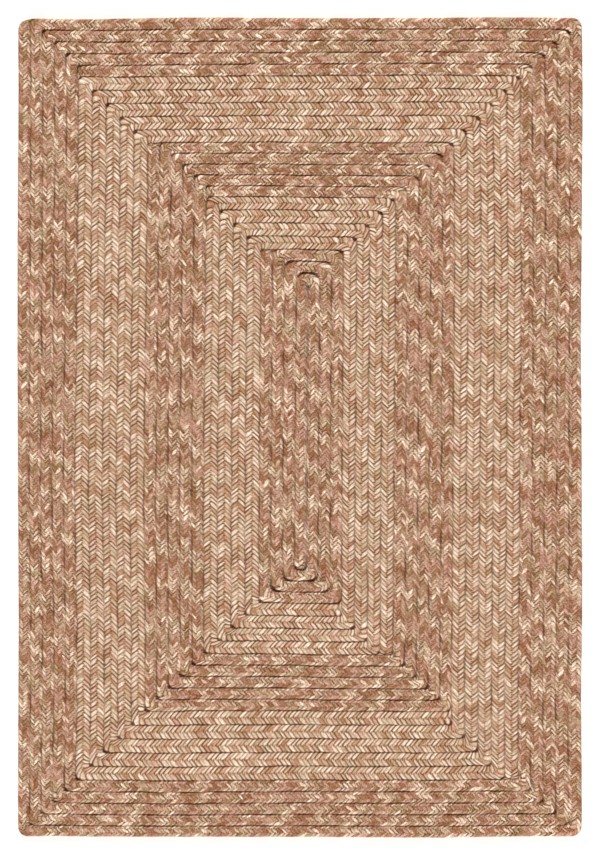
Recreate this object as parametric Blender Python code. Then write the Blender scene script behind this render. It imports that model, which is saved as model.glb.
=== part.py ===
"""A braided rug: five lengths of flat braid, each wound as a rectangular spiral round the last.

Metres, +Z up, origin under the middle of the rug. +X is across the rug, +Y along it.
Seen from above every length runs clockwise as it winds outwards.
"""

import math

import bpy
import numpy as np

MM = 0.001

# The rug lies flat. Its bands are measured from its outer edge inwards.
RUG_WIDTH = 1.220
RUG_LENGTH = 1.772
THICKNESS = 0.011
SLIT = 0.0005  # between neighbouring rows
CORE_SEAM = 0.0012  # between the core's first run and its second, about which it folds
CORNER_RADIUS = 0.010  # of every row's two edges where it turns
RUG_CORNER_RADIUS = 0.022
CORE_END_RADIUS = 0.011  # round the end of the core's first run
RIM_END_SHORT = 0.003  # the outer edge of the rim's end stops this far below the rug's top edge

# Widths of each band on its four sides, in mm, from the rim inwards. The core fills the rest:
# its figures are the width of three of its rows, and its first run lies inside them.
BANDS = (
    # name, yarn, laps, left, top, right, bottom, corner where the length starts and ends
    ("rim_braid", "terracotta", 5, 125.6, 124.8, 132.3, 125.2, "top_left"),
    ("outer_cream_braid", "cream", 5, 149.4, 143.2, 144.7, 148.1, "bottom_right"),
    ("middle_terracotta_braid", "terracotta", 5, 128.5, 117.6, 127.8, 120.7, "top_left"),
    ("inner_cream_braid", "cream", 4, 119.8, 114.0, 112.2, 110.9, "bottom_right"),
    ("core_braid", "terracotta", 3, 77.0, 77.5, 77.0, 73.0, "top_left"),
)

# The sides in the order in which a length meets them: where each faces, and the way the row runs there.
FACES = {"top": (0, 1), "right": (1, 0), "bottom": (0, -1), "left": (-1, 0)}
RUNS = {"top": (1, 0), "right": (0, -1), "bottom": (-1, 0), "left": (0, 1)}
SIDES = tuple(FACES)
FIRST_SIDE = {"top_left": "top", "bottom_right": "bottom"}

# A row's section: how far across it, from its inner edge to its outer, and how high.
SECTION = (
    (0.14, 0.0),
    (0.86, 0.0),
    (1.0, 0.55),
    (0.88, 0.93),
    (0.50, 1.0),
    (0.12, 0.93),
    (0.0, 0.55),
)
# The ends of a length are tucked in: the share of the full height, section by section.
TUCK = (0.70, 0.90)

ARC_STEPS = 3
STATION = 0.10  # straight rows have a section at every multiple of this
STATION_CLEAR = 0.03  # but none so near a corner

# Where hands and sewing have pulled the rows out of true: place and reach in metres, pull in mm.
PULLS = (
    # x, y, reach, pull_x, pull_y
    (-0.36, 0.62, 0.14, 3.4, -1.0),
    (0.46, 0.66, 0.14, -3.6, -1.2),
    (0.42, -0.62, 0.18, -3.0, 0.0),
    (-0.59, -0.50, 0.20, 5.0, 0.0),
    (-0.42, -0.12, 0.14, -2.2, 0.0),
    (-0.40, 0.80, 0.15, 0.0, -2.4),
    (0.26, 0.80, 0.14, 0.0, 2.2),
    (0.16, 0.52, 0.14, 0.0, -3.4),
    (-0.27, -0.76, 0.15, 0.0, -4.0),
    (0.20, -0.76, 0.15, 0.0, -2.4),
    (-0.16, -0.48, 0.14, 0.0, 3.2),
)
# The long rows also lean: to the right above this height on the rug, to the left below it.
LEAN = 2.6
LEAN_MIDDLE = 0.10
LEAN_REACH = 0.30
EDGE_HOLD = 20  # how steeply those pulls fade at the rug's own edges

# The rug's own edges are a little uneven: place and reach in metres, pull in mm.
EDGE_PULLS = (
    # x, y, reach, pull_x, pull_y
    (-0.61, 0.72, 0.09, 1.1, 0.0),
    (-0.61, 0.25, 0.20, -1.2, 0.0),
    (-0.61, -0.42, 0.14, 1.5, 0.0),
    (0.61, 0.70, 0.11, 1.8, 0.0),
    (0.61, 0.18, 0.11, -2.0, 0.0),
    (0.61, -0.38, 0.10, 1.1, 0.0),
    (0.61, -0.58, 0.08, -1.6, 0.0),
    (-0.46, 0.886, 0.08, 0.0, -2.4),
    (-0.22, 0.886, 0.10, 0.0, 1.4),
    (0.43, 0.886, 0.10, 0.0, 1.8),
    (-0.54, -0.886, 0.08, 0.0, 1.5),
    (0.28, -0.886, 0.12, 0.0, -1.7),
    (0.50, -0.886, 0.08, 0.0, 1.5),
)

YARNS = {
    "terracotta": (0.396, 0.212, 0.131),
    "cream": (0.610, 0.456, 0.310),
}


def summed(pulls, x, y):
    """How far these pulls move the point (x, y), in mm: each fades away from its place as a bell curve."""
    dx, dy = np.zeros_like(x), np.zeros_like(y)
    for place_x, place_y, reach, pull_x, pull_y in pulls:
        weight = np.exp(-((x - place_x) ** 2 + (y - place_y) ** 2) / (2 * reach**2))
        dx = dx + weight * pull_x
        dy = dy + weight * pull_y
    return dx, dy


def pulled(x, y):
    """Where the point (x, y) of a perfectly straight rug lies in this one."""
    dx, dy = summed(PULLS, x, y)
    dx = dx + LEAN * np.tanh((y - LEAN_MIDDLE) / LEAN_REACH)
    edge_dx, edge_dy = summed(EDGE_PULLS, x, y)
    near_side = (2 * np.abs(x) / RUG_WIDTH) ** EDGE_HOLD
    near_end = (2 * np.abs(y) / RUG_LENGTH) ** EDGE_HOLD
    dx = dx * (1 - near_side) + edge_dx * near_side
    dy = dy * (1 - near_end) + edge_dy * near_end
    return x + dx * MM, y + dy * MM


class Band:
    """One length of braid: the straight lines on either side of its laps, and how they turn."""

    def __init__(self, laps, widths, outer, corner, rim, core):
        self.laps = laps
        self.widths = widths
        self.outer = outer
        self.rim = rim
        self.core = core
        first = SIDES.index(FIRST_SIDE[corner])
        order = SIDES[first:] + SIDES[:first]
        self.legs = [(side, lap) for lap in range(laps) for side in order]
        if core:
            self.legs.insert(0, ("left", -1))

    def line(self, side, lap):
        """Where the line on the inner side of this lap lies, across that side of the rug."""
        return self.outer[side] - sum(FACES[side]) * self.widths[side] * (1 - lap / self.laps)

    def radius(self, side, lap, after, after_lap):
        """How a line turns into the next: tightly where the core folds, widest at the rug's corners."""
        if self.rim and lap == after_lap == self.laps:
            return RUG_CORNER_RADIUS
        if self.core and lap <= 0 and after_lap <= 0:
            return 0.4 * CORE_SEAM if "top" in (side, after) else CORE_END_RADIUS
        return CORNER_RADIUS

    def arcs(self, outwards):
        """The arcs at which one edge of the row turns, with one that starts it and one that ends it.

        outwards is 0 for the inner edge and 1 for the outer. The row starts against the side of its
        own last lap, and ends against the next length.
        """
        before = SIDES[SIDES.index(self.legs[0][0]) - 1]
        beyond = SIDES[(SIDES.index(self.legs[-1][0]) + 1) % len(SIDES)]
        lines = [(before, 0, -SLIT / 2)]
        for side, lap in self.legs:
            fold = self.core and not outwards and (side, lap) in (("left", -1), ("right", 0))
            inset = CORE_SEAM / 2 if fold else SLIT / 2 - outwards * SLIT
            lines.append((side, lap + outwards, inset))
        lines.append((beyond, self.laps, -SLIT / 2 - self.rim * outwards * RIM_END_SHORT))
        found = []
        for (side, lap, inset), (after, after_lap, after_inset) in zip(lines, lines[1:]):
            at = self.line(side, lap) + sum(FACES[side]) * inset
            at_after = self.line(after, after_lap) + sum(FACES[after]) * after_inset
            level = side in ("top", "bottom")
            corner = np.array([at_after, at] if level else [at, at_after])
            found.append(arc(corner, side, after, self.radius(side, lap, after, after_lap)))
        if self.core and not outwards:
            seam = found[0][-1][0]
            found[0] = found[0] * (-1, 1) + (2 * seam, 0)
        return found

    def edges(self):
        """The inner and outer edge of the row, with their points at the same stations."""
        arcs = [self.arcs(0), self.arcs(1)]
        rows = [list(arcs[0][0]), list(arcs[1][0])]
        for i, (side, _) in enumerate(self.legs, 1):
            run = np.array(RUNS[side], float)
            first, last = run @ rows[0][-1], run @ arcs[0][i][0]
            stops = np.arange(math.ceil(first / STATION), math.floor(last / STATION) + 1) * STATION
            for stop in stops[(stops > first + STATION_CLEAR) & (stops < last - STATION_CLEAR)]:
                for row in rows:
                    row.append(row[-1] + (stop - run @ row[-1]) * run)
            for row, turns in zip(rows, arcs):
                row.extend(turns[i])
        return [np.array(row) for row in rows]


def arc(corner, side, after, radius):
    """The points that round a corner between two sides, from the first to the second."""
    out_a = np.array(FACES[side], float)
    out_b = np.array(FACES[after], float)
    turns = np.linspace(0, math.pi / 2, ARC_STEPS + 1)[:, None]
    return corner + radius * (out_a * (np.cos(turns) - 1) + out_b * (np.sin(turns) - 1))


def braid_mesh(name, inner, outer):
    """The row's section carried along between its two edges, lower where its ends are tucked in."""
    count = len(inner)
    share = np.ones(count)
    share[: len(TUCK)] = TUCK
    share[-len(TUCK) :] = TUCK[::-1]
    across, height = np.array(SECTION).T
    flat = inner[:, None, :] + (outer - inner)[:, None, :] * across[None, :, None]
    x, y = pulled(flat[..., 0], flat[..., 1])
    z = THICKNESS * height[None, :] * share[:, None]
    points = np.stack([x, y, z], axis=-1).reshape(-1, 3)

    sides = len(SECTION)
    ring = np.arange(sides)
    after = (ring + 1) % sides
    steps = np.arange(count - 1)[:, None] * sides
    walls = np.stack([steps + ring, steps + after, steps + sides + after, steps + sides + ring], axis=-1)
    faces = walls.reshape(-1, 4).tolist()
    faces.append(ring[::-1].tolist())
    faces.append(((count - 1) * sides + ring).tolist())
    mesh = bpy.data.meshes.new(name)
    mesh.from_pydata(points.tolist(), [], faces)
    mesh.update()
    return mesh


def yarn_material(name):
    material = bpy.data.materials.new(name + "_yarn")
    material.use_nodes = True
    shader = material.node_tree.nodes["Principled BSDF"]
    shader.inputs["Base Color"].default_value = (*YARNS[name], 1.0)
    shader.inputs["Roughness"].default_value = 0.95
    shader.inputs["Metallic"].default_value = 0.0
    return material


def main():
    for old in list(bpy.data.objects):
        bpy.data.objects.remove(old, do_unlink=True)
    materials = {name: yarn_material(name) for name in YARNS}
    outer = {"top": RUG_LENGTH / 2, "bottom": -RUG_LENGTH / 2, "left": -RUG_WIDTH / 2, "right": RUG_WIDTH / 2}
    for name, yarn, laps, left, top, right, bottom, corner in BANDS:
        widths = {"left": left * MM, "top": top * MM, "right": right * MM, "bottom": bottom * MM}
        band = Band(laps, widths, outer, corner, rim=name == "rim_braid", core=name == "core_braid")
        mesh = braid_mesh(name, *band.edges())
        mesh.materials.append(materials[yarn])
        mesh.shade_smooth()
        mesh.set_sharp_from_angle(angle=math.radians(35))
        node = bpy.data.objects.new(name, mesh)
        bpy.context.scene.collection.objects.link(node)
        outer = {side: band.line(side, 0) for side in SIDES}


main()
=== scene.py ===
"""A braided rug, seen from straight above: flat braid wound in rectangles, with every stitch raised.

Metres, +Z up, origin under the middle of the rug. +X is across the rug, +Y along it.
"""

import math

import bpy
import numpy as np
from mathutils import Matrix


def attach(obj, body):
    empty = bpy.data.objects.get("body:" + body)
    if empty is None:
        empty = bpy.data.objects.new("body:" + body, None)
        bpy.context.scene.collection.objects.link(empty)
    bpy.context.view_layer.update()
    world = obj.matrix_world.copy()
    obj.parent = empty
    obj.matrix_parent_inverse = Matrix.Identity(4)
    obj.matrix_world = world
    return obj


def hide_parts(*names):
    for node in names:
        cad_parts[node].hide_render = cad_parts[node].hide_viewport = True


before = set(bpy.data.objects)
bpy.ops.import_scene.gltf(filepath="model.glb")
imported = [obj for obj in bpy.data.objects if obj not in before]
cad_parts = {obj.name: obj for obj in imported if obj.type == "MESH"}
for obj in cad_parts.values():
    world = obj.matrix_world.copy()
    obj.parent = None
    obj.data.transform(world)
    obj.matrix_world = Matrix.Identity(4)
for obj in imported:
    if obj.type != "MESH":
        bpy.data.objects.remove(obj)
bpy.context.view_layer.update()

MM = 0.001
SEED = 40

# The rug's plan. Its bands and the pulls on them are the same as the solids'. Its rows lie closer, because
# they are sewn together, and some of its corners turn wider or tighter.
RUG_WIDTH = 1.220
RUG_LENGTH = 1.772
THICKNESS = 0.011
SLIT = 0.0001  # between neighbouring rows
CORE_SEAM = 0.0006  # between the core's first run and its second, about which it folds
CORE_FOLD = 0.4  # radius of that fold, as a share of the seam
CORNER_RADIUS = 0.009
GENTLE_RADIUS = 0.016  # at the top right corners
CORE_TURN_RADIUS = 0.018  # all round the core
RUG_CORNER_RADIUS = 0.022
CORE_END_RADIUS = 0.011  # round the end of the core's first run
RIM_END_SHORT = 0.003  # the outer edge of the rim's end stops this far below the rug's top edge
ARC_STEPS = 14

# Widths of each band on its four sides, in mm, from the rim inwards. The core's figures are the width of
# three of its rows.
BANDS = (
    # name, yarn, laps, left, top, right, bottom, corner where the length starts and ends
    ("rim_braid", "terracotta", 5, 125.6, 124.8, 132.3, 125.2, "top_left"),
    ("outer_cream_braid", "cream", 5, 149.4, 143.2, 144.7, 148.1, "bottom_right"),
    ("middle_terracotta_braid", "terracotta", 5, 128.5, 117.6, 127.8, 120.7, "top_left"),
    ("inner_cream_braid", "cream", 4, 119.8, 114.0, 112.2, 110.9, "bottom_right"),
    ("core_braid", "terracotta", 3, 77.0, 77.5, 77.0, 73.0, "top_left"),
)
# The sides in the order in which a length meets them: where each faces, and the way the row runs there.
FACES = {"top": (0, 1), "right": (1, 0), "bottom": (0, -1), "left": (-1, 0)}
RUNS = {"top": (1, 0), "right": (0, -1), "bottom": (-1, 0), "left": (0, 1)}
SIDES = tuple(FACES)
FIRST_SIDE = {"top_left": "top", "bottom_right": "bottom"}

# Where hands and sewing have pulled the rows out of true: place and reach in metres, pull in mm.
PULLS = (
    # x, y, reach, pull_x, pull_y
    (-0.36, 0.62, 0.14, 3.4, -1.0),
    (0.46, 0.66, 0.14, -3.6, -1.2),
    (0.42, -0.62, 0.18, -3.0, 0.0),
    (-0.59, -0.50, 0.20, 5.0, 0.0),
    (-0.42, -0.12, 0.14, -2.2, 0.0),
    (-0.40, 0.80, 0.15, 0.0, -2.4),
    (0.26, 0.80, 0.14, 0.0, 2.2),
    (0.16, 0.52, 0.14, 0.0, -3.4),
    (-0.27, -0.76, 0.15, 0.0, -4.0),
    (0.20, -0.76, 0.15, 0.0, -2.4),
    (-0.16, -0.48, 0.14, 0.0, 3.2),
)
# The long rows also lean: they lie up to LEAN mm to the right above LEAN_MIDDLE, and to the left below it.
LEAN = 2.6
LEAN_MIDDLE = 0.10
LEAN_REACH = 0.30
EDGE_HOLD = 20  # how steeply those pulls fade at the rug's own edges
# The rug's own edges are a little uneven too: place and reach in metres, pull in mm.
EDGE_PULLS = (
    # x, y, reach, pull_x, pull_y
    (-0.61, 0.72, 0.09, 1.1, 0.0),
    (-0.61, 0.25, 0.20, -1.2, 0.0),
    (-0.61, -0.42, 0.14, 1.5, 0.0),
    (0.61, 0.70, 0.11, 1.8, 0.0),
    (0.61, 0.18, 0.11, -2.0, 0.0),
    (0.61, -0.38, 0.10, 1.1, 0.0),
    (0.61, -0.58, 0.08, -1.6, 0.0),
    (-0.46, 0.886, 0.08, 0.0, -2.4),
    (-0.22, 0.886, 0.10, 0.0, 1.4),
    (0.43, 0.886, 0.10, 0.0, 1.8),
    (-0.54, -0.886, 0.08, 0.0, 1.5),
    (0.28, -0.886, 0.12, 0.0, -1.7),
    (0.50, -0.886, 0.08, 0.0, 1.5),
)
# Small waves along the rows, which neighbours share.
WAVES = (
    # size in mm, length along the rows in metres, how far across the rug it slips by one length
    (0.45, 0.190, 0.90),
    (0.35, 0.083, 0.31),
)

# Where the rows are sewn so tight that the groove between them closes: crossing waves, each with its
# length across the rug and along it.
GROOVE_WAVES = ((0.113, 0.171), (-0.067, 0.233), (0.191, -0.097))
LONG_SIDES = 0.76  # how open the grooves are at most along the rug's long sides, which are sewn tighter
SHORT_SIDES = 0.84  # and along its short sides

# The braid. Its strands cross it in slanting zones: each is on top for one zone and dives at its border.
# A pitch is the length of braid that one stitch takes. Neighbouring zones are half a pitch out of step.
PITCH = 0.0101
QUARTERS = 4  # grid rows to a pitch
HALF = QUARTERS // 2  # and to half a pitch
PACE_STEP = 0.25  # metres of braid between one change of pace and the next: braid isn't plaited evenly
PACE_SPREAD = 0.02  # by which the pitch runs long or short
SINK = (1.0, 0.42, 0.0, 0.38)  # how far down in a valley each quarter of a stitch lies
SHOULDER = (0.0, -0.08, 0.0, 0.08)  # pitches by which they move towards the valleys, to round the stitch
LOOSE = (1.0, 0.6, 0.0, 0.6)  # how much of a stitch's own shift each quarter takes
BORDER_SWAY = 0.045  # a stitch's round end pushes the border this far into the valley beside it
BORDER_RISE = 0.8  # and fills the valley there by this share
EDGE_PITS = (0.024, 0.056)  # a row's edge and the column beside it draw in this far between stitches
VALLEYS = (0.60, 1.20)  # some valleys between stitches are shallower than others
STITCH_SHIFT = 0.15  # pitches by which stitches are out of step, as pulled by hand
MOST_SHIFT = 0.25  # and the most that any is
STITCH_SWELL = 0.35  # mm by which stitches stand out or lie low
MOST_SWELL = (-2.0, 1.3)  # the lowest and the highest, as shares of that
CLOSED_FADE = 0.70  # how far the shade between two rows fades where their groove is closed
CLOSED_RISE = 0.36  # share of the thickness by which their edges stand higher there
TURN_REACH = 0.012  # a stitch begins to fan out this far before its row turns
PIT_REACH = 0.0045  # where rows turn, a small pit opens at their corners
CORE_PIT_REACH = 0.011  # round the core it is a long slit
GROOVE_FLOOR = 0.0010  # height of the deepest pit's bottom
PIT_DEPTHS = (4.0, 2.5)  # mm, at a row's edge and at the column beside it
FREE_CORNERS = 3  # the corners of the rim's outer edge that no other row surrounds
END_RUN = 3.0  # pitches over which a cut end is gathered square
END_TUCK = 0.70  # share of the height that is left where the ends are tucked in
ODD_STITCHES = 0.22  # share of the stitches whose yarn is at another point of its dye
BRAIDS = {
    "terracotta": {
        "strands": 8,
        "closes": 0.90,  # how far the grooves between its rows close
        "borders": (0.24, 0.63),
        "shifts": (-1, 0, 1),  # how many strands each zone is ahead of the middle one
        # How clear each strand lies of the one before it: the dark ones are a little felted together.
        "parted": (1.0, 1.0, 0.85, 0.70, 0.65, 0.70, 0.85, 1.0),
        "slants": ((0.0, 0.0), (0.24, 0.70), (0.63, -0.15), (1.0, 0.92)),  # across, pitches ahead
        "section": (
            # across, height as a share of the thickness, depth of the valleys in mm, shade on top,
            # shade in the valleys
            (0.0, 0.50, 2.2, 0.36, 0.9),
            (0.065, 0.83, 2.6, 0.24, 1.0),
            (0.14, 0.97, 2.2, 0.0, 0.8),
            (0.24, 0.955, 2.4, 0.0, 0.9),
            (0.33, 0.985, 2.2, 0.0, 0.85),
            (0.435, 1.0, 2.0, 0.0, 0.75),
            (0.54, 0.985, 2.2, 0.0, 0.85),
            (0.63, 0.955, 2.4, 0.0, 0.9),
            (0.75, 0.99, 2.2, 0.0, 0.8),
            (0.88, 0.96, 2.2, 0.0, 0.8),
            (0.935, 0.83, 2.6, 0.24, 1.0),
            (1.0, 0.50, 2.2, 0.36, 0.9),
        ),
    },
    "cream": {
        "strands": 5,
        "closes": 0.60,
        "borders": (0.5,),
        "shifts": (0, 0),
        "parted": (1.0, 1.0, 0.8, 0.9, 1.0),
        "slants": ((0.0, 0.0), (0.5, 1.30), (1.0, 0.30)),
        "section": (
            (0.0, 0.50, 2.2, 0.28, 0.9),
            (0.056, 0.84, 2.6, 0.20, 1.0),
            (0.12, 0.97, 2.9, 0.0, 0.9),
            (0.25, 1.0, 2.9, 0.0, 0.85),
            (0.38, 0.97, 2.9, 0.0, 0.9),
            (0.50, 0.90, 2.6, 0.15, 0.95),
            (0.62, 0.97, 2.9, 0.0, 0.9),
            (0.75, 1.0, 2.9, 0.0, 0.85),
            (0.88, 0.97, 2.9, 0.0, 0.9),
            (0.944, 0.84, 2.6, 0.20, 1.0),
            (1.0, 0.50, 2.2, 0.28, 0.9),
        ),
    },
}
UNDERSIDE = (0.994, 0.5, 0.006)  # across: flat on the floor, and nearly as wide as the row
# Painted shade on the rows' walls and undersides, where little light reaches
UNDER_SHADE = 0.5
SHARP = math.radians(48)  # folds sharper than this aren't smoothed


def summed(pulls, x, y):
    """How far these pulls move the point (x, y), in mm: each fades away from its place as a bell curve."""
    dx, dy = np.zeros_like(x), np.zeros_like(y)
    for place_x, place_y, reach, pull_x, pull_y in pulls:
        weight = np.exp(-((x - place_x) ** 2 + (y - place_y) ** 2) / (2 * reach**2))
        dx = dx + weight * pull_x
        dy = dy + weight * pull_y
    return dx, dy


def pulled(x, y):
    """Where the point (x, y) of a perfectly straight rug lies in this one: moved by its pulls, by the
    lean of its long rows and by small sine waves along the rows, all of which fade out at its edges."""
    dx, dy = summed(PULLS, x, y)
    dx = dx + LEAN * np.tanh((y - LEAN_MIDDLE) / LEAN_REACH)
    for size, length, slip in WAVES:
        dx = dx + size * np.sin(2 * math.pi * (y / length + x / slip))
        dy = dy + size * np.sin(2 * math.pi * (x / length + y / slip))
    edge_dx, edge_dy = summed(EDGE_PULLS, x, y)
    near_side = (2 * np.abs(x) / RUG_WIDTH) ** EDGE_HOLD
    near_end = (2 * np.abs(y) / RUG_LENGTH) ** EDGE_HOLD
    dx = dx * (1 - near_side) + edge_dx * near_side
    dy = dy * (1 - near_end) + edge_dy * near_end
    return x + dx * MM, y + dy * MM


def openness(x, y):
    """How far the groove at (x, y) stands open, from 0 to 1: half and the mean of crossing sine waves,
    times a share for the rows along the rug's long sides, and another for those along its short sides.
    The diagonals from its corners part the two."""
    waves = [np.sin(2 * math.pi * (x / across + y / along)) for across, along in GROOVE_WAVES]
    along_side = np.abs(x) - np.abs(y) > (RUG_WIDTH - RUG_LENGTH) / 2
    mean = sum(waves) / len(waves)
    return np.clip(0.5 + mean, 0, 1) * np.where(along_side, LONG_SIDES, SHORT_SIDES)


class Band:
    """One length of braid: the straight lines on either side of its laps, and how they turn."""

    def __init__(self, laps, widths, outer, corner, rim, core):
        self.laps = laps
        self.widths = widths
        self.outer = outer
        self.rim = rim
        self.core = core
        first = SIDES.index(FIRST_SIDE[corner])
        order = SIDES[first:] + SIDES[:first]
        self.legs = [(side, lap) for lap in range(laps) for side in order]
        if core:
            self.legs.insert(0, ("left", -1))

    def line(self, side, lap):
        """Where the line on the inner side of this lap lies, across that side of the rug."""
        return self.outer[side] - sum(FACES[side]) * self.widths[side] * (1 - lap / self.laps)

    def radius(self, side, lap, after, after_lap):
        """How an edge turns into the next: tightest where the core folds, widest at the rug's corners.

        The two edges that meet in a groove get the same radius, so that the rows fit round one another."""
        if self.rim and lap == after_lap == self.laps:
            return RUG_CORNER_RADIUS
        if self.core and lap <= 0 and after_lap <= 0:
            return CORE_FOLD * CORE_SEAM if "top" in (side, after) else CORE_END_RADIUS
        if self.core and max(lap, after_lap) < self.laps:
            return CORE_TURN_RADIUS
        return GENTLE_RADIUS if (side, after) == ("top", "right") else CORNER_RADIUS

    def arcs(self, outwards):
        """The arcs at which one edge of the row turns, with one that starts it and one that ends it.

        outwards is 0 for the inner edge and 1 for the outer. The row starts against the last side of its
        own first lap, and ends against the next length or at the rug's own edge.
        """
        before = SIDES[SIDES.index(self.legs[0][0]) - 1]
        beyond = SIDES[(SIDES.index(self.legs[-1][0]) + 1) % len(SIDES)]
        lines = [(before, 0, -SLIT / 2)]
        for side, lap in self.legs:
            fold = self.core and not outwards and (side, lap) in (("left", -1), ("right", 0))
            inset = CORE_SEAM / 2 if fold else SLIT / 2 - outwards * SLIT
            lines.append((side, lap + outwards, inset))
        lines.append((beyond, self.laps, -SLIT / 2 - self.rim * outwards * RIM_END_SHORT))
        found = []
        for (side, lap, inset), (after, after_lap, after_inset) in zip(lines, lines[1:]):
            at = self.line(side, lap) + sum(FACES[side]) * inset
            at_after = self.line(after, after_lap) + sum(FACES[after]) * after_inset
            level = side in ("top", "bottom")
            corner = np.array([at_after, at] if level else [at, at_after])
            found.append(arc(corner, side, after, self.radius(side, lap, after, after_lap)))
        if self.core and not outwards:
            # The end of the core's first run is round on both sides, so this corner mirrors the outer one.
            seam = found[0][-1][0]
            found[0] = found[0] * (-1, 1) + (2 * seam, 0)
        return found

    def edges(self):
        """The inner and outer edge of the row, each as its points and the length walked to each, and
        the lengths that lie across from one another: at both ends of the row, and on each of its legs
        at both ends of the stretch in which its stitches don't fan out."""
        arcs = [self.arcs(0), self.arcs(1)]
        points = [np.concatenate(turns) for turns in arcs]
        walked = [np.append(0, np.cumsum(np.hypot(*np.diff(edge, axis=0).T))) for edge in points]
        at_arc = [length.reshape(len(self.legs) + 1, -1) for length in walked]
        across = [(0.0, 0.0)]
        for i, (side, _) in enumerate(self.legs):
            run = np.array(RUNS[side], float)
            begins, ends = at_arc[0][i, -1], at_arc[0][i + 1, 0]
            reach = min(TURN_REACH, (ends - begins) / 4)
            to_outer = at_arc[1][i, -1] - begins + run @ (arcs[0][i][-1] - arcs[1][i][-1])
            for length in (begins + reach, ends - reach):
                across.append((length, length + to_outer))
        across.append((walked[0][-1], walked[1][-1]))
        return points, walked, np.array(across)


def arc(corner, side, after, radius):
    """The points that round a corner between two sides, from the first to the second."""
    out_a = np.array(FACES[side], float)
    out_b = np.array(FACES[after], float)
    turns = np.linspace(0, math.pi / 2, ARC_STEPS + 1)[:, None]
    return corner + radius * (out_a * (np.cos(turns) - 1) + out_b * (np.sin(turns) - 1))


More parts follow.
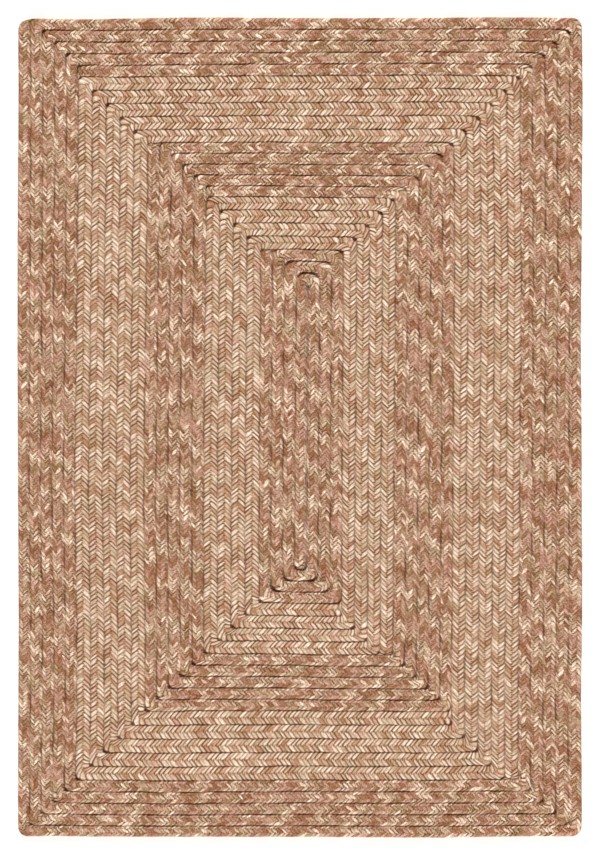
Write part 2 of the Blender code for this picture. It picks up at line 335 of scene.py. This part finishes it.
class Braid:
    """A length of braid as one grid: rows a quarter of a pitch apart, and columns round its section.

    A row's points lie further along where the zones slant, so every stitch is the strip between two
    valleys of its zone. Across, a point lies between the row's two edges; its height is the section's,
    less the valley's depth times how deep in the valley that quarter lies.
    """

    def __init__(self, band, kind, draws):
        braid = BRAIDS[kind]
        under = [(across, 0, 0, UNDER_SHADE, UNDER_SHADE) for across in UNDERSIDE]
        self.across, height, sink, shade, valley_shade = np.array(braid["section"] + tuple(under)).T
        self.top = len(braid["section"])
        points, walked, across = band.edges()
        centre = np.append(0, np.cumsum(np.diff(across, axis=0).mean(axis=1)))
        self.length = centre[-1]
        self.count = int(QUARTERS * self.length / PITCH)
        paced = self.paced(draws)
        # The grid row at which the straight stretch of each leg begins.
        self.legs_at = np.interp(centre[1::2], paced, np.arange(self.count + 1))

        # Every point's quarter of its stitch, the number of that stitch in its zone, and that of the
        # stitch whose valley it is nearest to. Each stitch of each zone has draws of its own.
        quarter = np.arange(self.count + 1)[:, None]
        zone = np.searchsorted(braid["borders"], self.across, side="right")[None, :]
        border = np.isin(self.across, braid["borders"]) & (height > 0)
        step = (quarter - HALF * (zone % 2)) % QUARTERS
        stitch = (quarter - HALF * (zone % 2)) // QUARTERS + 1
        valley_of = stitch + (step == QUARTERS - 1)
        drawn = (len(braid["borders"]) + 1, self.count // QUARTERS + 3)

        # Along: the zones slant, each valley is a little out of step, and the cut ends are square.
        shift = draws.normal(0, STITCH_SHIFT, drawn)[zone, valley_of]
        shift = np.clip(shift, -MOST_SHIFT, MOST_SHIFT) * np.array(LOOSE)[step] + np.array(SHOULDER)[step]
        slant = np.interp(self.across, *np.array(braid["slants"]).T)
        to_end = np.minimum(quarter, self.count - quarter) / QUARTERS
        gathered = np.clip(to_end / END_RUN, 0, 1)
        ahead = (slant + np.where(border, 0, shift)) * gathered
        along = np.interp(quarter + QUARTERS * ahead, np.arange(self.count + 1), paced)

        # Valleys: shallow between strands that are felted together, and uneven.
        before = (valley_of - 1 - np.array(braid["shifts"])[zone]) % braid["strands"]
        parted = np.array(braid["parted"])[before] * draws.uniform(*VALLEYS, drawn)[zone, valley_of]

        # Across: between the edges, with each stitch's end round and pushing into the valley beside it.
        poke = step % 2 == 0
        valley = np.where(border, 1 - BORDER_RISE * poke, np.array(SINK)[step]) * parted
        sway = np.where(step == 0, 1, -1) * poke * BORDER_SWAY * border
        draw_in = np.zeros(len(self.across))
        draw_in[:2] = EDGE_PITS
        draw_in[[self.top - 1, self.top - 2]] = np.negative(EDGE_PITS)
        share = self.across + sway + draw_in * valley
        lengths = [np.interp(along, centre, across[:, edge]) for edge in (0, 1)]
        x, y = [
            (1 - share) * np.interp(lengths[0], walked[0], points[0][:, axis])
            + share * np.interp(lengths[1], walked[1], points[1][:, axis])
            for axis in (0, 1)
        ]

        # Up: the section, less its valleys, with a pit where an edge turns. Where a groove is closed the
        # edges beside it stand higher and lose some of their shade.
        lowest, highest = np.array(MOST_SWELL) * STITCH_SWELL
        swell = np.clip(draws.normal(0, STITCH_SWELL, drawn), lowest, highest)[zone, stitch]
        swell = np.where(border, 0, (1 - np.array(SINK)[step]) * swell)
        pit = self.pits(band, walked, lengths)
        tuck = END_TUCK + (1 - END_TUCK) * gathered
        z = THICKNESS * height * tuck + (swell - sink * valley - pit) * MM
        z = np.maximum(z, GROOVE_FLOOR) * (height > 0)
        # Painted shade: depth sets how much of the yarn's shade colour each point takes, from the section's
        # shade on top and in the valleys, and more in the pits. Near 0 the material paints a highlight
        # instead.
        self.depth = np.clip(shade + (valley_shade - shade) * valley + pit / PIT_DEPTHS[0], 0, 1)
        for edge, beside in ((0, 1), (self.top - 1, self.top - 2)):
            closed = braid["closes"] * (1 - openness(x[:, edge], y[:, edge]))
            z[:, edge] += THICKNESS * CLOSED_RISE * closed
            self.depth[:, [edge, beside]] *= 1 - CLOSED_FADE * closed[:, None]
        self.points = np.stack([*pulled(x, y), z], axis=-1)

        # Faces: which zone a column of faces lies in, and for each stitch where its strand is in the
        # repeat of the dye, with some odd ones, and its own tone.
        self.face_zone = np.searchsorted(braid["borders"], (self.across + np.roll(self.across, -1)) / 2)
        stitch = (quarter[:-1] - HALF * (self.face_zone % 2)) // QUARTERS + 1
        strand = (stitch - 1 - np.array(braid["shifts"])[self.face_zone]) % braid["strands"]
        odd = draws.random(drawn)[self.face_zone, stitch] < ODD_STITCHES
        stray = draws.integers(0, braid["strands"], drawn)[self.face_zone, stitch]
        self.place = (np.where(odd, stray, strand) + 0.5) / braid["strands"]
        self.tone = draws.random(drawn)[self.face_zone, stitch]
        self.yarn_along = self.across * np.mean(list(band.widths.values())) / band.laps
        self.yarn_across = np.arange(self.count + 1) / QUARTERS * PITCH

    def paced(self, draws):
        """How far along the length each grid row lies: the sum of paces that wander about the pitch."""
        changes = draws.normal(1, PACE_SPREAD, math.ceil(self.length / PACE_STEP) + 1)
        at = np.linspace(0, len(changes) - 1, self.count)
        walked = np.append(0, np.cumsum(np.interp(at, np.arange(len(changes)), changes)))
        return walked * self.length / walked[-1]

    def pits(self, band, walked, lengths):
        """How deep the pits lie at the two outermost columns of either edge, in mm: each is a bell curve
        of the distance along that edge from the middle of its turn. Round the core they lie about a
        quarter of the turn nearer to the rug's short sides."""
        pit = np.zeros(lengths[0].shape)
        reach = CORE_PIT_REACH if band.core else PIT_REACH
        from_long_side = np.array([side in ("left", "right") for side, _ in band.legs[:-1]])
        nearer = np.where(from_long_side, 1, -1) * band.core * ARC_STEPS // 4
        for edge, columns in ((0, (0, 1)), (1, (self.top - 1, self.top - 2))):
            arcs = walked[edge].reshape(-1, ARC_STEPS + 1)[1:-1]
            turns = arcs[np.arange(len(arcs)), ARC_STEPS // 2 + nearer]
            if band.rim and edge:
                turns = turns[:-FREE_CORNERS]
            for column, depth in zip(columns, PIT_DEPTHS):
                away = np.abs(lengths[edge][:, column, None] - turns).min(axis=1)
                pit[:, column] = depth * np.exp(-((away / reach) ** 2))
        return pit

    def piece(self, name, first, last, material):
        """The closed mesh of the grid's rows first to last: walls between them, and a cap at either cut.

        A cap takes the middle of the chart and of the tones. The yarn's map is in metres: first along the
        strands, which is across the row, then across them. Zones are half a pitch out of step there too."""
        columns = len(self.across)
        rows = last - first
        points = self.points[first : last + 1].reshape(-1, 3)
        column = np.arange(columns)
        after = (column + 1) % columns
        steps = np.arange(rows)[:, None] * columns
        next_steps = steps + columns
        walls = np.stack([steps + column, next_steps + column, next_steps + after, steps + after], axis=-1)
        faces = walls.reshape(-1, 4).tolist()
        faces.append(column.tolist())
        faces.append((rows * columns + column[::-1]).tolist())

        mesh = bpy.data.meshes.new(name)
        mesh.from_pydata(points.tolist(), [], faces)
        depth = mesh.attributes.new("depth", "FLOAT", "POINT")
        depth.data.foreach_set("value", self.depth[first : last + 1].ravel())
        for label, values in (("place", self.place), ("tone", self.tone)):
            attribute = mesh.attributes.new(label, "FLOAT", "FACE")
            attribute.data.foreach_set("value", np.append(values[first:last].ravel(), (0.5, 0.5)))
        corners = np.zeros((rows, columns, 4, 2))
        corners[..., 0] = self.yarn_along[np.stack([column, column, after, after], axis=-1)][None]
        height = self.yarn_across[first : last + 1]
        low, high = height[:-1, None], height[1:, None]
        corners[..., 1] = np.stack([low, high, high, low], axis=-1)
        corners[..., 1] -= (self.face_zone[None, :, None] % 2) * PITCH / 2
        caps = np.zeros((2, columns, 2))
        flat = np.append(corners.ravel(), caps.ravel())
        mesh.uv_layers.new(name="yarn").uv.foreach_set("vector", flat)
        mesh.shade_smooth()
        mesh.set_sharp_from_angle(angle=SHARP)
        mesh.materials.append(material)
        mesh.update()
        made = bpy.data.objects.new(name, mesh)
        bpy.context.scene.collection.objects.link(made)
        return made


def linear(colour):
    """An sRGB hex colour as linear light."""
    shares = [int(colour[i : i + 2], 16) / 255 for i in (1, 3, 5)]
    return [c / 12.92 if c <= 0.04045 else ((c + 0.055) / 1.055) ** 2.4 for c in shares]


def add(tree, kind, output, inputs=(), **settings):
    """The output of a new shader node. An input given as a socket is linked, and any other is set."""
    made = tree.nodes.new("ShaderNode" + kind)
    for name, value in settings.items():
        setattr(made, name, value)
    for socket, value in dict(inputs).items():
        if isinstance(value, bpy.types.NodeSocket):
            tree.links.new(value, made.inputs[socket])
        else:
            made.inputs[socket].default_value = value
    return made.outputs[output]


EASED = {"interpolation_type": "SMOOTHSTEP"}
OF_COLOURS = {"data_type": "RGBA"}
TIMES = {"operation": "MULTIPLY"}
# Inputs that take a value from one pair of levels to another.
RANGE = ("Value", "From Min", "From Max", "To Min", "To Max")
# Sockets of a node that mixes two colours.
SHARE = 0
FIRST = 6
SECOND = 7
MIXED = 2

PLY = 2.6 * MM  # thickness of one of the three plies twisted into a strand
PLY_RUN = 9 * MM  # how far one ply stays on top
PLY_ANGLE = math.radians(32)
PLY_RELIEF = 0.35 * MM
PALE_PLIES = (0.55, 0.70)  # levels of the streaks between which a ply turns pale
DARK_PLIES = (0.44, 0.26)  # and dark
DARK_PLY_SHARE = 0.5
STRAND_LEVELS = (0.24, 0.42)  # brightness of a strand with the faintest pale plies, and with the clearest
PALE_PLY_SHARES = (0.30, 0.60)  # how much they show on either
MOTTLE = 2.3 * MM  # lengths of lighter and darker fibre, spun together
MOTTLE_LEVELS = (0.34, 0.66)  # levels of the noise for the dullest fibre and the brightest
FIBRE = 0.9 * MM  # loose fibres, drawn coarser than they are so that they show
FIBRE_RELIEF = 0.45 * MM
PATCH = 30 * MM  # about the size of a patch of another dye lot
PATCH_LEVELS = (0.50, 0.62)  # levels of the noise between which a patch sets in
PATCH_SHARE = 0.36  # how much of a patch's own colour shows in its middle
PATCHES_APART = 7.0  # so that the rose patches and the olive ones lie in places of their own
HIGHLIGHT_DEPTH = 0.42  # painted highlight on the stitches' tops fades out by this depth
PAINTED_FLANK_LEVEL = 0.90  # brightness from there down: painted shade on the flanks
RICH_LEVELS = (0.55, 1.3)  # brightness of the darkest yarn and of the brightest
SHADED_DEPTHS = (0.16, 0.80)  # between these the shade of the valleys sets in
YARN_ROUGHNESS = 0.95
YARN_SPECULAR = 0.1  # loose fibres hardly glint
YARNS = {
    # Space-dyed spun yarn. Of its eight strands three run from cream to tan, side by side, three are
    # terracotta, and one on either side of those lies between.
    "terracotta": {
        "chart": (
            "#D1B8A0",
            "#CAAD92",
            "#AC866E",
            "#A27A63",
            "#A07660",
            "#A27B64",
            "#AE8B74",
            "#C6A88D",
        ),
        "fleck": "#E2CDB4",  # the pale plies
        "shade": "#6A3819",  # painted shade: what the valleys, grooves and pits darken to; the dark plies are mixed towards it too
        "patches": ("#B07865", "#A08D6A"),
        "painted_top_highlight": 1.08,  # painted highlight: brightness of the stitches' tops
        "valley_shade": 0.90,  # how much of the shade lies at the bottom of the valleys
        "uneven": (0.72, 1.22),  # brightness of the dullest stitch and of the brightest
        "mottled": (0.76, 1.24),  # and of the dullest and brightest fibre
        "rich": (1.28, 0.86),  # strength of the dye in the darkest yarn and in the brightest
    },
    # The same spun yarn in cream and sand, with one tan strand in five.
    "cream": {
        "chart": ("#D6BCA2", "#CBAC91", "#B78D72", "#C2A286", "#D4B99F"),
        "fleck": "#E4D1BB",
        "shade": "#76421A",
        "patches": ("#C0917F", "#B9A888"),
        "painted_top_highlight": 1.05,
        "valley_shade": 0.92,
        "uneven": (0.79, 1.09),
        "mottled": (0.84, 1.16),
        "rich": (1.25, 0.76),
    },
}


def yarn_material(kind):
    """Spun yarn, dyed in lengths and braided: matt and fuzzy to the eye, its colour changing with every
    strand and a little with every stitch and ply, with painted highlight on the stitches' tops and painted
    shade on their flanks and in the valleys."""
    yarn = YARNS[kind]
    fleck = (*linear(yarn["fleck"]), 1)
    shade = (*linear(yarn["shade"]), 1)
    material = bpy.data.materials.new("space_dyed_%s_yarn" % kind)
    material.use_nodes = True
    tree = material.node_tree
    shader = tree.nodes["Principled BSDF"]

    place = add(tree, "Attribute", "Fac", attribute_name="place")
    tone = add(tree, "Attribute", "Fac", attribute_name="tone")
    depth = add(tree, "Attribute", "Fac", attribute_name="depth")
    along = add(tree, "UVMap", "UV", uv_map="yarn")
    where = add(tree, "TexCoord", "Object")

    # Each strand's place in the repeat of the dye picks its colour from the chart.
    colour = add(tree, "ValToRGB", "Color", {"Fac": place})
    chart = colour.node.color_ramp
    chart.interpolation = "CONSTANT"
    while len(chart.elements) < len(yarn["chart"]):
        chart.elements.new(0.5)
    for i, (element, dye) in enumerate(zip(chart.elements, yarn["chart"])):
        element.position = i / len(yarn["chart"])
        element.color = (*linear(dye), 1)

    # Patches of another dye lot, some rose and some olive, wander over the rug.
    for number, patch in enumerate(yarn["patches"]):
        spread = {
            "Vector": where,
            "W": number * PATCHES_APART,
            "Scale": 1 / PATCH,
            "Detail": 3.0,
            "Roughness": 0.6,
        }
        noise = add(tree, "TexNoise", "Fac", spread, noise_dimensions="4D")
        in_patch = (noise, *PATCH_LEVELS, 0.0, PATCH_SHARE)
        share = add(tree, "MapRange", "Result", zip(RANGE, in_patch), **EASED)
        mixed = {SHARE: share, FIRST: colour, SECOND: (*linear(patch), 1)}
        colour = add(tree, "Mix", MIXED, mixed, **OF_COLOURS)

    # Plies: long thin streaks along each strand, lighter or darker than the rest.
    stretched = add(tree, "Mapping", "Vector", {"Vector": along, "Scale": (1 / PLY_RUN, 1 / PLY, 1.0)})
    streak = add(tree, "TexNoise", "Fac", {"Vector": stretched, "Scale": 1.0, "Detail": 1.0})
    grey = add(tree, "RGBToBW", "Val", {"Color": colour})
    shows = add(tree, "MapRange", "Result", zip(RANGE, (grey, *STRAND_LEVELS, *PALE_PLY_SHARES)), **EASED)
    pale = add(tree, "MapRange", "Result", zip(RANGE, (streak, *PALE_PLIES, 0.0, 1.0)), **EASED)
    pale = add(tree, "Math", "Value", {0: pale, 1: shows}, **TIMES)
    colour = add(tree, "Mix", MIXED, {SHARE: pale, FIRST: colour, SECOND: fleck}, **OF_COLOURS)
    dark = add(tree, "MapRange", "Result", zip(RANGE, (streak, *DARK_PLIES, 0.0, DARK_PLY_SHARE)), **EASED)
    colour = add(tree, "Mix", MIXED, {SHARE: dark, FIRST: colour, SECOND: shade}, **OF_COLOURS)

    # The yarn is brighter or duller by stitch and mottled within the stitch; a painted highlight lightens
    # the top of each stitch and painted shade dims its flanks.
    mottle = add(tree, "TexNoise", "Fac", {"Vector": where, "Scale": 1 / MOTTLE, "Detail": 2.0})
    by_stitch = add(tree, "MapRange", "Result", zip(RANGE, (tone, 0.0, 1.0, *yarn["uneven"])), **EASED)
    mottled = (mottle, *MOTTLE_LEVELS, *yarn["mottled"])
    by_fibre = add(tree, "MapRange", "Result", zip(RANGE, mottled), **EASED)
    crest_highlight = (depth, HIGHLIGHT_DEPTH, 0.0, PAINTED_FLANK_LEVEL, yarn["painted_top_highlight"])
    by_painted_highlight = add(tree, "MapRange", "Result", zip(RANGE, crest_highlight), **EASED)
    value = add(tree, "Math", "Value", {0: by_stitch, 1: by_fibre}, **TIMES)
    value = add(tree, "Math", "Value", {0: value, 1: by_painted_highlight}, **TIMES)
    # Where it is darker its dye looks richer too; where the painted highlight lightens it, paler.
    rich = add(tree, "MapRange", "Result", zip(RANGE, (value, *RICH_LEVELS, *yarn["rich"])), **EASED)
    colour = add(tree, "HueSaturation", "Color", {"Color": colour, "Value": value, "Saturation": rich})

    # Little light reaches down between stitches.
    in_shade = (depth, *SHADED_DEPTHS, 0.0, yarn["valley_shade"])
    sunk = add(tree, "MapRange", "Result", zip(RANGE, in_shade), **EASED)
    colour = add(tree, "Mix", MIXED, {SHARE: sunk, FIRST: colour, SECOND: shade}, **OF_COLOURS)

    # Relief: the plies' twist, and fibres standing off them.
    twist = add(tree, "Mapping", "Vector", {"Vector": along, "Rotation": (0, 0, PLY_ANGLE)})
    bands = {"Vector": twist, "Scale": 1 / (2 * PLY), "Distortion": 1.0, "Detail": 0.0}
    plies = add(tree, "TexWave", "Fac", bands, wave_type="BANDS", bands_direction="Y", wave_profile="SIN")
    fuzz = add(tree, "TexNoise", "Fac", {"Vector": where, "Scale": 1 / FIBRE, "Detail": 2.0})
    raised = add(tree, "Bump", "Normal", {"Height": plies, "Distance": PLY_RELIEF, "Strength": 0.8})
    standing = {"Height": fuzz, "Distance": FIBRE_RELIEF, "Strength": 0.7, "Normal": raised}
    rough = add(tree, "Bump", "Normal", standing)

    tree.links.new(colour, shader.inputs["Base Color"])
    tree.links.new(rough, shader.inputs["Normal"])
    shader.inputs["Roughness"].default_value = YARN_ROUGHNESS
    shader.inputs["Specular IOR Level"].default_value = YARN_SPECULAR
    return material


def make_rug():
    """Every band's laps as pieces of their own, cut where a lap begins its first straight. A lap's flat
    size is its row's mean width by its length along the middle of the braid."""
    draws = np.random.default_rng(SEED)
    materials = {kind: yarn_material(kind) for kind in YARNS}
    outer = {
        "top": RUG_LENGTH / 2,
        "right": RUG_WIDTH / 2,
        "bottom": -RUG_LENGTH / 2,
        "left": -RUG_WIDTH / 2,
    }
    for node, kind, laps, left, top, right, bottom, corner in BANDS:
        widths = {"left": left * MM, "top": top * MM, "right": right * MM, "bottom": bottom * MM}
        band = Band(laps, widths, outer, corner, rim=node == "rim_braid", core=node == "core_braid")
        braid = Braid(band, kind, draws)
        extra = len(band.legs) - laps * len(SIDES)  # the core's first run, before its laps
        starts = [round(braid.legs_at[extra + lap * len(SIDES)]) for lap in range(1, laps)]
        cuts = [0, *starts, braid.count]
        for lap, (first, last) in enumerate(zip(cuts, cuts[1:]), 1):
            piece = braid.piece("%s_lap_%d" % (node, lap), first, last, materials[kind])
            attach(piece, "root")
            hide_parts(node)
        outer = {side: band.line(side, 0) for side in SIDES}


FLOOR_REACH = 14.0  # from the middle to each side
FLOOR_DROP = 0.0002  # below the rug
FLOOR_COLOUR = "#F4F3F1"
FLOOR_ROUGHNESS = 0.8


def floor_material():
    """Matt white paint, rolled on: even and pale, with next to no gloss."""
    material = bpy.data.materials.new("white_painted_floor")
    material.use_nodes = True
    shader = material.node_tree.nodes["Principled BSDF"]
    shader.inputs["Base Color"].default_value = (*linear(FLOOR_COLOUR), 1)
    shader.inputs["Roughness"].default_value = FLOOR_ROUGHNESS
    return material


def make_floor():
    """A plain white square, a hair below the rug."""
    mesh = bpy.data.meshes.new("floor")
    ways = ((-1, -1), (1, -1), (1, 1), (-1, 1))
    corners = [(x * FLOOR_REACH, y * FLOOR_REACH, -FLOOR_DROP) for x, y in ways]
    mesh.from_pydata(corners, [], [(0, 1, 2, 3)])
    mesh.materials.append(floor_material())
    floor = bpy.data.objects.new("floor", mesh)
    bpy.context.scene.collection.objects.link(floor)


LAMPS = (
    # name, elevation in degrees from +Y, distance and size in metres, power in watts
    ("lamp_top", 22, 12.0, 5.0, 2100),
    ("lamp_bottom", 158, 12.0, 5.0, 2100),
    ("lamp_over", 90, 12.0, 5.0, 250),
)
SKY = 0.28  # strength of the light from all round


def make_light():
    """Soft lamps past the rug's two short sides and overhead, and an even pale sky."""
    for name, elevation, distance, size, power in LAMPS:
        data = bpy.data.lights.new(name, "AREA")
        data.shape = "SQUARE"
        data.size = size
        data.energy = power
        lamp = bpy.data.objects.new(name, data)
        turn = math.radians(elevation)
        lamp.location = (0, distance * math.cos(turn), distance * math.sin(turn))
        lamp.rotation_euler = (turn - math.pi / 2, 0, 0)
        bpy.context.scene.collection.objects.link(lamp)
    world = bpy.data.worlds.new("studio")
    world.use_nodes = True
    sky = world.node_tree.nodes["Background"]
    sky.inputs["Color"].default_value = (1, 1, 1, 1)
    sky.inputs["Strength"].default_value = SKY
    bpy.context.scene.world = world


CAMERA_AT = (0.0002, -0.0011)
VIEW_HIGH = 1.851  # metres of floor from the top of the picture to its bottom
LENS = 100.0
SENSOR = 36.0
SEES_TO = 50  # metres


def make_camera():
    """Straight above the rug's middle, far off through a long lens, as in the photograph."""
    data = bpy.data.cameras.new("camera")
    data.sensor_fit = "VERTICAL"
    data.sensor_height = SENSOR
    data.lens = LENS
    data.clip_end = SEES_TO
    camera = bpy.data.objects.new("camera", data)
    camera.location = (*CAMERA_AT, THICKNESS + VIEW_HIGH * LENS / SENSOR)
    bpy.context.scene.collection.objects.link(camera)
    bpy.context.scene.camera = camera
    bpy.context.scene.view_settings.view_transform = "Standard"


make_rug()
make_floor()
make_light()
make_camera()
